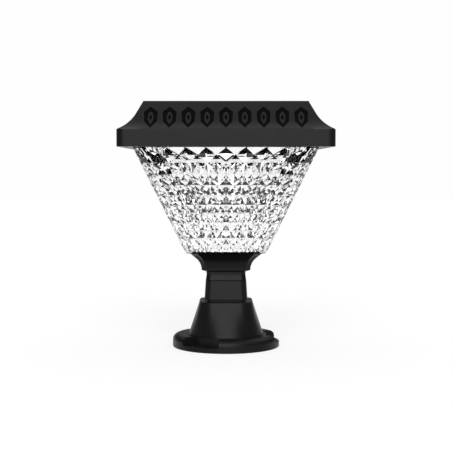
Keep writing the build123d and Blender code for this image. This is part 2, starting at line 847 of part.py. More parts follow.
with BuildPart() as control_board:
    with BuildSketch(Plane.XY.offset(control_z)):
        with Locations((0, control_y)):
            RectangleRounded(control_length, control_width, 2.0)
            with GridLocations(2 * control_screw_x, 2 * control_screw_y, 2, 2):
                Circle(fine_shaft_radius + slip_gap, mode=Mode.SUBTRACT)
    extrude(amount=control_thickness)
control_board.part.label = "control_board"
export_step(control_board.part, "parts/control_board.step")

with BuildPart() as control_screws:
    with Locations((0, control_y, control_top_z)):
        with GridLocations(2 * control_screw_x, 2 * control_screw_y, 2, 2):
            add(spacer_screw)
control_screws.part.label = "control_screws"
export_step(control_screws.part, "parts/control_screws.step")

with BuildPart() as control_chip:
    with BuildSketch(Plane.XY.offset(control_top_z)):
        with Locations((-10, control_y + 4)):
            Rectangle(8.0, 6.0)
    extrude(amount=1.8)
    chamfer(control_chip.edges().group_by(Axis.Z)[-1], 0.3)
control_chip.part.label = "control_chip"
export_step(control_chip.part, "parts/control_chip.step")

with BuildPart() as charge_inductor:
    with BuildSketch(Plane.XY.offset(control_top_z)):
        with Locations((6, control_y + 6)):
            Circle(4.6)
    extrude(amount=4.8)
    chamfer(charge_inductor.edges().group_by(Axis.Z)[-1], 0.6)
charge_inductor.part.label = "charge_inductor"
export_step(charge_inductor.part, "parts/charge_inductor.step")

with BuildPart() as storage_capacitor:
    with BuildSketch(Plane.XY.offset(control_top_z)):
        with Locations((20, control_y + 6)):
            Circle(4.0)
    extrude(amount=9.0)
    fillet(storage_capacitor.edges().group_by(Axis.Z)[-1], 0.6)
storage_capacitor.part.label = "storage_capacitor"
export_step(storage_capacitor.part, "parts/storage_capacitor.step")

with BuildPart() as wire_connectors:
    with BuildSketch(Plane.XY.offset(control_top_z)):
        with Locations(*[(x, connector_y) for x in connector_xs]):
            Rectangle(connector_length, connector_width)
    extrude(amount=connector_height)
    with BuildSketch(Plane.XY.offset(connector_top_z)):
        for x in connector_xs:
            with Locations((x - lead_spread, connector_y), (x + lead_spread, connector_y)):
                Circle(lead_radius + thread_gap)
    extrude(amount=-connector_grip, mode=Mode.SUBTRACT)
wire_connectors.part.label = "wire_connectors"
export_step(wire_connectors.part, "parts/wire_connectors.step")

# Battery in an open cradle
cell_z = deck_top_z + holder_side + cell_radius + seat_gap
cell_half = cell_length / 2
cradle_half = cell_half + cell_gap + cell_nub_height
end_wall = 2 * holder_side
wall_top_z = cell_z + cell_radius
with BuildPart() as battery_holder:
    with BuildSketch(Plane.XY.offset(deck_top_z)):
        with Locations((0, battery_y)):
            Rectangle(
                2 * (cradle_half + end_wall), 2 * (cell_radius + seat_gap + holder_side)
            )
    extrude(amount=holder_side)
    with BuildSketch(Plane.XY.offset(deck_top_z)):
        reach = cell_radius + seat_gap + holder_side / 2
        with Locations((0, battery_y - reach), (0, battery_y + reach)):
            Rectangle(2 * (cradle_half + end_wall), holder_side)
    extrude(amount=cell_z - deck_top_z)
    with BuildSketch(Plane.XY.offset(deck_top_z)):
        reach = cradle_half + end_wall / 2
        with Locations((-reach, battery_y), (reach, battery_y)):
            Rectangle(end_wall, 2 * (cell_radius + seat_gap + holder_side))
    extrude(amount=wall_top_z - deck_top_z)
battery_holder.part.label = "battery_holder"
export_step(battery_holder.part, "parts/battery_holder.step")

cell_plane = Plane(origin=(0, battery_y, cell_z), x_dir=(0, 1, 0), z_dir=(1, 0, 0))
with BuildPart() as battery_cell:
    with BuildSketch(cell_plane.offset(-cell_half)):
        Circle(cell_radius)
    extrude(amount=cell_length)
    chamfer(battery_cell.edges().filter_by(GeomType.CIRCLE), 0.6)
    with BuildSketch(cell_plane.offset(cell_half)):
        Circle(cell_nub_radius)
    extrude(amount=cell_nub_height)
battery_cell.part.label = "battery_cell"
export_step(battery_cell.part, "parts/battery_cell.step")

tab_z = wall_top_z + contact_sheet
with BuildPart() as battery_contacts:
    for way in (-1, 1):
        sheet_x = way * (cradle_half - contact_sheet / 2)
        tip_x = way * (cell_half + (cell_nub_height if way > 0 else 0))
        with BuildSketch(Plane.XY.offset(deck_top_z + holder_side)):
            with Locations((sheet_x, battery_y)):
                Rectangle(contact_sheet, contact_width)
        extrude(amount=tab_z - deck_top_z - holder_side)
        with BuildSketch(Plane.XY.offset(wall_top_z)):
            with Locations((way * (cradle_half + end_wall / 2), battery_y)):
                Rectangle(end_wall + contact_sheet, contact_width)
        extrude(amount=contact_sheet)
        with BuildSketch(cell_plane.offset(tip_x)):
            Circle(contact_dome_radius)
        extrude(amount=sheet_x - tip_x)
battery_contacts.part.label = "battery_contacts"
export_step(battery_contacts.part, "parts/battery_contacts.step")

# Solar panel in the recess of the roof
cells_z = recess_z + panel_backing_thickness
cover_z = cells_z + cell_thickness
with BuildPart() as panel_backing:
    with BuildSketch(Plane.XY.offset(recess_z)):
        RectangleRounded(panel_width, panel_width, panel_recess_corner - seat_gap)
    extrude(amount=panel_backing_thickness)
panel_backing.part.label = "panel_backing"
export_step(panel_backing.part, "parts/panel_backing.step")

cells_width = panel_width - 2 * solar_border
solar_cell_length = (cells_width - (solar_columns - 1) * solar_gap) / solar_columns
solar_cell_width = (cells_width - (solar_rows - 1) * solar_gap) / solar_rows
with BuildPart() as solar_cells:
    with BuildSketch(Plane.XY.offset(cells_z)):
        with GridLocations(
            solar_cell_length + solar_gap, solar_cell_width + solar_gap, solar_columns, solar_rows
        ):
            Rectangle(solar_cell_length, solar_cell_width)
    extrude(amount=cell_thickness)
solar_cells.part.label = "solar_cells"
export_step(solar_cells.part, "parts/solar_cells.step")

with BuildPart() as panel_cover:
    with BuildSketch(Plane.XY.offset(cover_z)):
        RectangleRounded(panel_width, panel_width, panel_recess_corner - seat_gap)
    extrude(amount=panel_cover_thickness)
    chamfer(panel_cover.edges().group_by(Axis.Z)[-1], 0.3)
panel_cover.part.label = "panel_cover"
export_step(panel_cover.part, "parts/panel_cover.step")

with BuildPart() as lead_grommet:
    with BuildSketch(Plane.XY.offset(roof_z)):
        with Locations((0, grommet_y)):
            Circle(grommet_radius)
    extrude(amount=roof_thickness)
    with BuildSketch(Plane.XY.offset(roof_z)):
        with Locations((0, grommet_y)):
            Circle(grommet_lip_radius)
    extrude(amount=-grommet_lip)
    with BuildSketch(Plane.XY.offset(recess_z)):
        with Locations((0, grommet_y)):
            Circle(grommet_bore)
    extrude(amount=-roof_thickness - grommet_lip, mode=Mode.SUBTRACT)
lead_grommet.part.label = "lead_grommet"
export_step(lead_grommet.part, "parts/lead_grommet.step")

# Mode button under the rear overhang, with the switch that it works
seal_top_z = tray_top_z + button_seal_thickness
button_top_z = seal_top_z + button_flange
with BuildPart() as mode_button:
    with BuildSketch(Plane.XY.offset(rim_z - button_proud)):
        with Locations((0, button_y)):
            Circle(button_radius)
    extrude(amount=button_top_z - rim_z + button_proud)
    fillet(mode_button.edges().group_by(Axis.Z)[0], 0.8)
    with BuildSketch(Plane.XY.offset(seal_top_z)):
        with Locations((0, button_y)):
            Circle(button_flange_radius)
    extrude(amount=button_flange)
mode_button.part.label = "mode_button"
export_step(mode_button.part, "parts/mode_button.step")

stem_top_z = switch_z + switch_height - button_travel - 2 * seat_gap
with BuildPart() as switch_stem:
    with BuildSketch(Plane.XY.offset(button_top_z)):
        with Locations((0, button_y)):
            Circle(stem_radius)
    extrude(amount=stem_top_z - button_top_z)
switch_stem.part.label = "switch_stem"
export_step(switch_stem.part, "parts/switch_stem.step")

with BuildPart() as button_seal:
    with BuildSketch(Plane.XY.offset(tray_top_z)):
        with Locations((0, button_y)):
            Circle(button_flange_radius)
            Circle(button_radius + slip_gap, mode=Mode.SUBTRACT)
    extrude(amount=button_seal_thickness)
button_seal.part.label = "button_seal"
export_step(button_seal.part, "parts/button_seal.step")

with BuildPart() as switch_body:
    with BuildSketch(Plane.XY.offset(switch_z)):
        with Locations((0, button_y)):
            Rectangle(switch_width, switch_width)
    extrude(amount=switch_height)
    with BuildSketch(Plane.XY.offset(switch_z)):
        with Locations((0, button_y)):
            Circle(stem_radius + 0.5 * slip_gap)
    extrude(amount=switch_height - seat_gap, mode=Mode.SUBTRACT)
switch_body.part.label = "switch_body"
export_step(switch_body.part, "parts/switch_body.step")

board_edge_y = button_y + switch_post_radius
board_middle_y = board_edge_y - switch_board_length / 2
with BuildPart() as switch_board:
    with BuildSketch(Plane.XY.offset(switch_board_z)):
        with Locations((0, board_middle_y)):
            Rectangle(switch_board_width, switch_board_length)
        with Locations((-switch_post_line, button_y), (switch_post_line, button_y)):
            Circle(fine_shaft_radius + slip_gap, mode=Mode.SUBTRACT)
    extrude(amount=switch_board_thickness)
switch_board.part.label = "switch_board"
export_step(switch_board.part, "parts/switch_board.step")

with BuildPart() as switch_screws:
    with Locations((0, 0, switch_board_z + switch_board_thickness)):
        with Locations((-switch_post_line, button_y), (switch_post_line, button_y)):
            add(board_screw)
switch_screws.part.label = "switch_screws"
export_step(switch_screws.part, "parts/switch_screws.step")

# Leads inside the cap, one pair from each connector
plug_z = connector_top_z - connector_grip
led_run_z = connector_top_z + 8
switch_run_z = connector_top_z + 4
battery_run_z = connector_top_z + 13
panel_run_z = connector_top_z + 18
switch_pad_z = switch_board_z + switch_board_thickness
switch_pad_y = board_middle_y - switch_board_length / 2 + 3
tab_x = cradle_half + end_wall / 2

battery_leads = []
led_leads = []
panel_leads = []
switch_leads = []
for way in (-1, 1):
    x = connector_xs[0] + way * lead_spread
    battery_leads.append(lead([
        (x, connector_y, plug_z), (x, connector_y, battery_run_z),
        (way * tab_x, battery_y, battery_run_z), (way * tab_x, battery_y, tab_z),
    ]))
    x = connector_xs[1] + way * lead_spread
    led_leads.append(lead([
        (x, connector_y, plug_z), (x, connector_y, led_run_z),
        (x, led_hole_y, led_run_z), (x, led_hole_y, led_board_z + led_board_thickness),
    ]))
    x = connector_xs[2] + way * lead_spread
    panel_leads.append(lead([
        (x, connector_y, plug_z), (x, connector_y, panel_run_z),
        (way * lead_spread, grommet_y, panel_run_z), (way * lead_spread, grommet_y, recess_z),
    ]))
    x = connector_xs[3] + way * lead_spread
    switch_leads.append(lead([
        (x, connector_y, plug_z), (x, connector_y, switch_run_z),
        (way * lead_spread, switch_pad_y, switch_run_z), (way * lead_spread, switch_pad_y, switch_pad_z),
    ]))

for name, pair in (
    ("battery_lead", battery_leads), ("led_lead", led_leads),
    ("panel_lead", panel_leads), ("switch_lead", switch_leads),
):
    for colour, wire in zip(("black", "red"), pair):
        wire.label = name + "_" + colour
        export_step(wire, "parts/" + name + "_" + colour + ".step")
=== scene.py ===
import math
import bmesh
import bpy
from mathutils import Matrix, Vector


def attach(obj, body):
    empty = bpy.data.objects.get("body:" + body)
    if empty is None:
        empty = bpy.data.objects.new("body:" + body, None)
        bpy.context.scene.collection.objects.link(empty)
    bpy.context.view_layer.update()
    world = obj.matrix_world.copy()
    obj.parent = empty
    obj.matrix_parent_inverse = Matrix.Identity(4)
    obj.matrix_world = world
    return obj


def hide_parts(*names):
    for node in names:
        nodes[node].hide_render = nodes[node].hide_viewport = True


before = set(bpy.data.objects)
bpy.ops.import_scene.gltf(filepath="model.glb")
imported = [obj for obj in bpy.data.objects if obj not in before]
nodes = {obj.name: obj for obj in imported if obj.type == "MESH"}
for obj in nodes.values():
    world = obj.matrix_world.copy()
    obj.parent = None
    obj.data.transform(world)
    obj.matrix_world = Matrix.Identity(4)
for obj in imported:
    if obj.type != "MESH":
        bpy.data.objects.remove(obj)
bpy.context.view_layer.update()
mm = 0.001
weld = 0.01 * mm    # points nearer than this are one point
print("frame loaded:", len(nodes), "nodes")


# small helpers for shader nodes

def newMaterial(name):
    mat = bpy.data.materials.new(name)
    mat.use_nodes = True
    return mat, mat.node_tree, mat.node_tree.nodes["Principled BSDF"]


def objectCoords(tree):
    return tree.nodes.new("ShaderNodeTexCoord").outputs["Object"]


def noiseAt(tree, vector, scale, detail=2.0, rough=0.5):
    node = tree.nodes.new("ShaderNodeTexNoise")
    node.inputs["Scale"].default_value = scale
    node.inputs["Detail"].default_value = detail
    node.inputs["Roughness"].default_value = rough
    tree.links.new(vector, node.inputs["Vector"])
    return node.outputs["Fac"]


def spread(tree, value, low, high, fromLow=0.3, fromHigh=0.7):
    node = tree.nodes.new("ShaderNodeMapRange")
    node.inputs["From Min"].default_value = fromLow
    node.inputs["From Max"].default_value = fromHigh
    node.inputs["To Min"].default_value = low
    node.inputs["To Max"].default_value = high
    tree.links.new(value, node.inputs["Value"])
    return node.outputs["Result"]


def mathNode(tree, operation, a, b=None):
    node = tree.nodes.new("ShaderNodeMath")
    node.operation = operation
    for index, value in enumerate((a, b)):
        if value is None:
            continue
        if isinstance(value, (int, float)):
            node.inputs[index].default_value = value
        else:
            tree.links.new(value, node.inputs[index])
    return node.outputs["Value"]


def mixColours(tree, fac, first, second):
    node = tree.nodes.new("ShaderNodeMix")
    node.data_type = "RGBA"
    for socket, value in ((node.inputs[0], fac), (node.inputs[6], first), (node.inputs[7], second)):
        if isinstance(value, (int, float)):
            socket.default_value = value
        elif isinstance(value, tuple):
            socket.default_value = (*value, 1)
        else:
            tree.links.new(value, socket)
    return node.outputs[2]


def bumpFrom(tree, shader, height, strength, distance):
    node = tree.nodes.new("ShaderNodeBump")
    node.inputs["Strength"].default_value = strength
    node.inputs["Distance"].default_value = distance
    tree.links.new(height, node.inputs["Height"])
    tree.links.new(node.outputs["Normal"], shader.inputs["Normal"])


# moulded black plastic: fine spark texture, slight clouding of tone and gloss
blackSatin = {
    "tone": (0.0062, 0.0062, 0.0064), "lift": (0.0078, 0.0078, 0.0080), "cloud": 38.0, "roughLow": 0.32,
    "roughHigh": 0.38, "grain": 2600.0, "grainHeight": 0.000008, "specular": 0.11,
}


def mouldedPlastic(name, finish):
    mat, tree, shader = newMaterial(name)
    where = objectCoords(tree)
    cloud = noiseAt(tree, where, finish["cloud"], 3.0)
    grain = noiseAt(tree, where, finish["grain"], 2.0, 0.6)
    tone = mixColours(tree, spread(tree, cloud, 0.0, 1.0), finish["tone"], finish["lift"])
    tree.links.new(tone, shader.inputs["Base Color"])
    tree.links.new(spread(tree, cloud, finish["roughLow"], finish["roughHigh"]), shader.inputs["Roughness"])
    shader.inputs["Specular IOR Level"].default_value = finish["specular"]
    bumpFrom(tree, shader, grain, 0.5, finish["grainHeight"])
    return mat


satinBlack = mouldedPlastic("satinBlack", blackSatin)
# a darker copy of the satin black for the LED deck: painted shade inside the cap
deckShadeBlack = mouldedPlastic("deckShadeBlack", {
    **blackSatin, "tone": (0.003, 0.003, 0.003), "lift": (0.005, 0.005, 0.005), "specular": 0.1,
    "roughLow": 0.55, "roughHigh": 0.7,
})


# clear moulded shade: quiet face gloss, faint flow waves and dull spots
clearPlastic = {
    "tint": (1.0, 1.0, 1.0), "dull": (0.98, 0.985, 0.985), "ior": 1.49, "roughness": 0.012, "gloss": 0.05,
    "waves": 30.0, "waveHeight": 0.00002,
}


def clearFinish(spec):
    mat, tree, shader = newMaterial("clearShade")
    flow = noiseAt(tree, objectCoords(tree), spec["waves"], 2.0)
    tree.links.new(mixColours(tree, spread(tree, flow, 0.0, 1.0, 0.5, 0.75), spec["tint"], spec["dull"]),
                   shader.inputs["Base Color"])
    tree.links.new(spread(tree, flow, 0.0, spec["roughness"], 0.55, 0.75), shader.inputs["Roughness"])
    shader.inputs["Transmission Weight"].default_value = 1.0
    shader.inputs["IOR"].default_value = spec["ior"]
    shader.inputs["Specular Tint"].default_value = (*(spec["gloss"],) * 3, 1)
    bumpFrom(tree, shader, flow, 0.2, spec["waveHeight"])
    return mat


clearShade = clearFinish(clearPlastic)


# the small pieces: a tone that clouds over to a lighter one, and a roughness that drifts with the grain
smallPiece = {"cloud": 120.0, "drift": 0.06, "leastRough": 0.02}


def plainFinish(name, tone, lift, rough, metal=0.0, grain=900.0, height=0.00001, specular=0.5, glow=0.0, alpha=1.0):
    mat, tree, shader = newMaterial(name)
    where = objectCoords(tree)
    cloud = noiseAt(tree, where, smallPiece["cloud"], 3.0)
    fine = noiseAt(tree, where, grain, 2.0, 0.6)
    tree.links.new(mixColours(tree, spread(tree, cloud, 0.0, 1.0), tone, lift), shader.inputs["Base Color"])
    smooth, coarse = max(rough - smallPiece["drift"], smallPiece["leastRough"]), rough + smallPiece["drift"]
    tree.links.new(spread(tree, fine, smooth, coarse), shader.inputs["Roughness"])
    shader.inputs["Metallic"].default_value = metal
    shader.inputs["Specular IOR Level"].default_value = specular
    shader.inputs["Emission Color"].default_value = (1, 1, 1, 1)
    shader.inputs["Emission Strength"].default_value = glow
    shader.inputs["Alpha"].default_value = alpha
    bumpFrom(tree, shader, fine, 0.4, height)
    return mat


screwSteel = plainFinish("screwSteel", (0.42, 0.42, 0.43), (0.55, 0.55, 0.56), 0.32, 1.0)
sealRubber = plainFinish("sealRubber", (0.018, 0.018, 0.018), (0.028, 0.028, 0.028), 0.75, specular=0.3)
# painted light: the white LED board glows a little, though its chips do not glow and the lamp is unlit
solderWhiteGlow = plainFinish("solderWhiteGlow", (0.82, 0.82, 0.82), (0.88, 0.88, 0.88), 0.42, glow=0.3)
boardGreen = plainFinish("boardGreen", (0.012, 0.11, 0.035), (0.02, 0.15, 0.05), 0.35)
chipBlack = plainFinish("chipBlack", (0.015, 0.015, 0.016), (0.03, 0.03, 0.031), 0.55)
ferrite = plainFinish("ferrite", (0.05, 0.05, 0.052), (0.09, 0.09, 0.092), 0.7, grain=1600.0, height=0.00004)
canAluminium = plainFinish("canAluminium", (0.62, 0.63, 0.65), (0.74, 0.75, 0.77), 0.3, 1.0)
connectorWhite = plainFinish("connectorWhite", (0.72, 0.70, 0.64), (0.80, 0.78, 0.72), 0.5)
cellWrap = plainFinish("cellWrap", (0.03, 0.12, 0.34), (0.04, 0.16, 0.42), 0.3)
contactNickel = plainFinish("contactNickel", (0.55, 0.53, 0.50), (0.70, 0.68, 0.64), 0.25, 1.0)
panelBack = plainFinish("panelBack", (0.70, 0.71, 0.72), (0.78, 0.79, 0.80), 0.6)
leadRed = plainFinish("leadRed", (0.42, 0.012, 0.012), (0.52, 0.02, 0.02), 0.45)
leadBlack = plainFinish("leadBlack", (0.012, 0.012, 0.013), (0.022, 0.022, 0.023), 0.45)
stemWhite = plainFinish("stemWhite", (0.66, 0.66, 0.64), (0.74, 0.74, 0.72), 0.5)
buttonRubber = plainFinish("buttonRubber", (0.022, 0.022, 0.023), (0.034, 0.034, 0.035), 0.6, specular=0.35)
panelGlass = plainFinish("panelGlass", (0.02, 0.03, 0.04), (0.03, 0.04, 0.05), 0.1, grain=60.0, alpha=0.1)


# led packages: pale body with a round yellow phosphor window
ledPackage = {"pitch": 22.0, "window": 1.05, "body": (0.86, 0.86, 0.84), "phosphor": (0.88, 0.80, 0.52)}


def ledFinish(spec):
    mat, tree, shader = newMaterial("ledPackage")
    split = tree.nodes.new("ShaderNodeSeparateXYZ")
    tree.links.new(objectCoords(tree), split.inputs["Vector"])
    pitch = spec["pitch"] * mm
    offset = []
    for axis in ("X", "Y"):
        cell = mathNode(tree, "FRACT", mathNode(tree, "DIVIDE", split.outputs[axis], pitch))
        offset.append(mathNode(tree, "MULTIPLY", mathNode(tree, "SUBTRACT", cell, 0.5), pitch))
    squares = [mathNode(tree, "POWER", value, 2.0) for value in offset]
    away = mathNode(tree, "SQRT", mathNode(tree, "ADD", *squares))
    ring = spread(tree, away, 1.0, 0.0, spec["window"] * mm, spec["window"] * mm * 1.1)
    tree.links.new(mixColours(tree, ring, spec["body"], spec["phosphor"]), shader.inputs["Base Color"])
    tree.links.new(spread(tree, ring, 0.4, 0.18, 0.0, 1.0), shader.inputs["Roughness"])
    return mat


# solar cells: deep blue wafers with faint fingers and silver bars across them
solarCell = {
    "dark": (0.006, 0.011, 0.034), "light": (0.010, 0.020, 0.062), "crystal": 110.0, "silver": (0.45, 0.46, 0.48),
    "finger": 2.4, "fingerWidth": 0.9, "fingerTone": 0.045, "bar": 28.0, "barWidth": 1.0, "barTone": 0.8,
}


def stripes(tree, coordinate, pitch, width, shift):
    place = mathNode(tree, "FRACT", mathNode(tree, "ADD", mathNode(tree, "DIVIDE", coordinate, pitch * mm), shift))
    away = mathNode(tree, "ABSOLUTE", mathNode(tree, "SUBTRACT", place, 0.5))
    share = width / pitch
    return spread(tree, away, 1.0, 0.0, share * 0.3, share * 0.7)    # soft edges, half the tone at half the width


def solarFinish(spec):
    mat, tree, shader = newMaterial("solarCell")
    where = objectCoords(tree)
    split = tree.nodes.new("ShaderNodeSeparateXYZ")
    tree.links.new(where, split.inputs["Vector"])
    grains = tree.nodes.new("ShaderNodeTexVoronoi")
    grains.inputs["Scale"].default_value = spec["crystal"]
    tree.links.new(where, grains.inputs["Vector"])
    wafer = mixColours(tree, grains.outputs["Color"], spec["dark"], spec["light"])
    fingers = stripes(tree, split.outputs["Y"], spec["finger"], spec["fingerWidth"], 0.0)
    bars = stripes(tree, split.outputs["X"], spec["bar"], spec["barWidth"], 0.5)
    lines = mathNode(tree, "MAXIMUM", mathNode(tree, "MULTIPLY", fingers, spec["fingerTone"]),
                     mathNode(tree, "MULTIPLY", bars, spec["barTone"]))
    tree.links.new(mixColours(tree, lines, wafer, spec["silver"]), shader.inputs["Base Color"])
    tree.links.new(spread(tree, lines, 0.25, 0.4, 0.0, 1.0), shader.inputs["Roughness"])
    shader.inputs["Specular IOR Level"].default_value = 0.0    # the cover has the gloss
    return mat


# which finish each CAD node wears
finishes = (
    (satinBlack, "base neck_sleeve shade_holder cap_housing cap_tray"),
    (deckShadeBlack, "led_plate"),
    (clearShade, "lamp_shade"),
    (sealRubber, "holder_gasket shade_gasket lead_grommet button_seal"),
    (solderWhiteGlow, "led_board"),
    (ledFinish(ledPackage), "led_chips"),
    (boardGreen, "control_board switch_board"),
    (chipBlack, "control_chip battery_holder switch_body"),
    (ferrite, "charge_inductor"),
    (canAluminium, "storage_capacitor"),
    (connectorWhite, "wire_connectors control_spacers"),
    (cellWrap, "battery_cell"),
    (contactNickel, "battery_contacts"),
    (panelBack, "panel_backing"),
    (solarFinish(solarCell), "solar_cells"),
    (panelGlass, "panel_cover"),
    (buttonRubber, "mode_button"),
    (stemWhite, "switch_stem"),
    (leadBlack, "battery_lead_black led_lead_black panel_lead_black switch_lead_black"),
    (leadRed, "battery_lead_red led_lead_red panel_lead_red switch_lead_red"),
)
for mat, names in finishes:
    for name in names.split():
        nodes[name].data.materials.clear()
        nodes[name].data.materials.append(mat)
print("finishes:", len(finishes), "kinds")


# helpers for geometry nodes

def newTree(name, inputs):
    tree = bpy.data.node_groups.new(name, "GeometryNodeTree")
    tree.interface.new_socket("Geometry", in_out="INPUT", socket_type="NodeSocketGeometry")
    for label, kind in inputs:
        tree.interface.new_socket(label, in_out="INPUT", socket_type=kind)
    tree.interface.new_socket("Geometry", in_out="OUTPUT", socket_type="NodeSocketGeometry")
    return tree, tree.nodes.new("NodeGroupInput"), tree.nodes.new("NodeGroupOutput")


def finishTree(tree, geometry, mat, out):
    realize = tree.nodes.new("GeometryNodeRealizeInstances")
    paint = tree.nodes.new("GeometryNodeSetMaterial")
    paint.inputs["Material"].default_value = mat
    tree.links.new(geometry, realize.inputs["Geometry"])
    tree.links.new(realize.outputs["Geometry"], paint.inputs["Geometry"])
    tree.links.new(paint.outputs["Geometry"], out.inputs["Geometry"])


def runTree(obj, tree, values):
    modifier = obj.modifiers.new(tree.name, "NODES")
    modifier.node_group = tree
    for item in tree.interface.items_tree:
        if item.in_out == "INPUT" and item.name in values:
            modifier[item.identifier] = values[item.name]
    depsgraph = bpy.context.evaluated_depsgraph_get()
    mesh = bpy.data.meshes.new_from_object(obj.evaluated_get(depsgraph), depsgraph=depsgraph)
    obj.modifiers.remove(modifier)
    obj.data = mesh
    return obj


def meshObject(name, points, faces):
    mesh = bpy.data.meshes.new(name)
    mesh.from_pydata([tuple(p) for p in points], [], faces)
    mesh.update()
    obj = bpy.data.objects.new(name, mesh)
    bpy.context.scene.collection.objects.link(obj)
    return obj


# clear shade: a bucket of flat cells, each drawn out to a low pyramid; the inside is cut finer below its top row
shadeCut = {
    "rows": 7, "columns": 8, "fineRows": 10, "fineColumns": 16, "fineGrowth": 1.05, "low": 119.0, "high": 247.0,
    "floor": 3.0, "wall": 4.5, "topHalf": 108.0, "lowHalf": 48.5, "topLeg": 10.5, "lowLeg": 8.5, "cornerShare": 0.6,
    "topRise": 1.6, "lowRise": 1.2, "innerTopRise": 3.2, "fineTopRise": 3.3, "fineLowRise": 1.15,
    "collarHalf": 107.7, "collarTop": 251.5, "flangeHalf": 112.9, "flangeTop": 254.0,
}


def ringPoints(columns, half, leg, level):
    points = []
    for side in range(4):
        turn = Matrix.Rotation(math.radians(90 * side), 4, "Z")
        for column in range(columns + 1):
            along = (half - leg) * (2 * column / columns - 1)
            points.append(turn @ Vector((along * mm, -half * mm, level * mm)))
    return points


# a skin of cells between two rings, each ring given as its half width, corner leg and level
def bucketSkin(rows, columns, foot, head, growth):
    points, faces = [], []
    heights = [growth ** row for row in range(rows)]
    for row in range(rows + 1):
        share = sum(heights[:row]) / sum(heights)
        points += ringPoints(columns, *(a + (b - a) * share for a, b in zip(foot, head)))
    count = 4 * (columns + 1)
    for row in range(rows):
        for k in range(count):
            j = (k + 1) % count
            faces.append((row * count + k, row * count + j, (row + 1) * count + j, (row + 1) * count + k))
    return points, faces


def facetTree(mat):
    tree, enter, out = newTree("facetCut", [("topRise", "NodeSocketFloat"), ("lowRise", "NodeSocketFloat"),
                                            ("low", "NodeSocketFloat"), ("high", "NodeSocketFloat"),
                                            ("cornerShare", "NodeSocketFloat")])
    place = tree.nodes.new("GeometryNodeInputPosition")
    split = tree.nodes.new("ShaderNodeSeparateXYZ")
    tree.links.new(place.outputs["Position"], split.inputs["Vector"])
    rise = tree.nodes.new("ShaderNodeMapRange")
    rise.clamp = False
    tree.links.new(split.outputs["Z"], rise.inputs["Value"])
    for socket, label in (("From Min", "low"), ("From Max", "high"), ("To Min", "lowRise"), ("To Max", "topRise")):
        tree.links.new(enter.outputs[label], rise.inputs[socket])
    # cells on the cut corners face both ways and stay lower
    facing = tree.nodes.new("GeometryNodeInputNormal")
    ways = tree.nodes.new("ShaderNodeSeparateXYZ")
    tree.links.new(facing.outputs["Normal"], ways.inputs["Vector"])
    least = mathNode(tree, "MINIMUM", mathNode(tree, "ABSOLUTE", ways.outputs["X"]),
                     mathNode(tree, "ABSOLUTE", ways.outputs["Y"]))
    corner = mathNode(tree, "GREATER_THAN", least, 0.3)    # flat sides have less
    loss = mathNode(tree, "MULTIPLY", corner, mathNode(tree, "SUBTRACT", 1.0, enter.outputs["cornerShare"]))
    height = mathNode(tree, "MULTIPLY", rise.outputs["Result"], mathNode(tree, "SUBTRACT", 1.0, loss))
    pull = tree.nodes.new("GeometryNodeExtrudeMesh")
    pull.mode = "FACES"
    pull.inputs["Individual"].default_value = True
    tree.links.new(enter.outputs["Geometry"], pull.inputs["Mesh"])
    tree.links.new(height, pull.inputs["Offset Scale"])
    point = tree.nodes.new("GeometryNodeScaleElements")
    point.inputs["Scale"].default_value = 0.0
    tree.links.new(pull.outputs["Mesh"], point.inputs["Geometry"])
    tree.links.new(pull.outputs["Top"], point.inputs["Selection"])
    merge = tree.nodes.new("GeometryNodeMergeByDistance")
    merge.inputs["Distance"].default_value = weld
    tree.links.new(point.outputs["Geometry"], merge.inputs["Geometry"])
    finishTree(tree, merge.outputs["Geometry"], mat, out)
    return tree


def cutSkin(name, tree, spec, rows, columns, foot, head, rises, inward, growth=1.0):
    skin = meshObject(name, *bucketSkin(rows, columns, foot, head, growth))
    if inward:
        skin.data.flip_normals()
    return runTree(skin, tree, {"lowRise": rises[0] * mm, "topRise": rises[1] * mm, "low": foot[2] * mm,
                                "high": head[2] * mm, "cornerShare": spec["cornerShare"]})


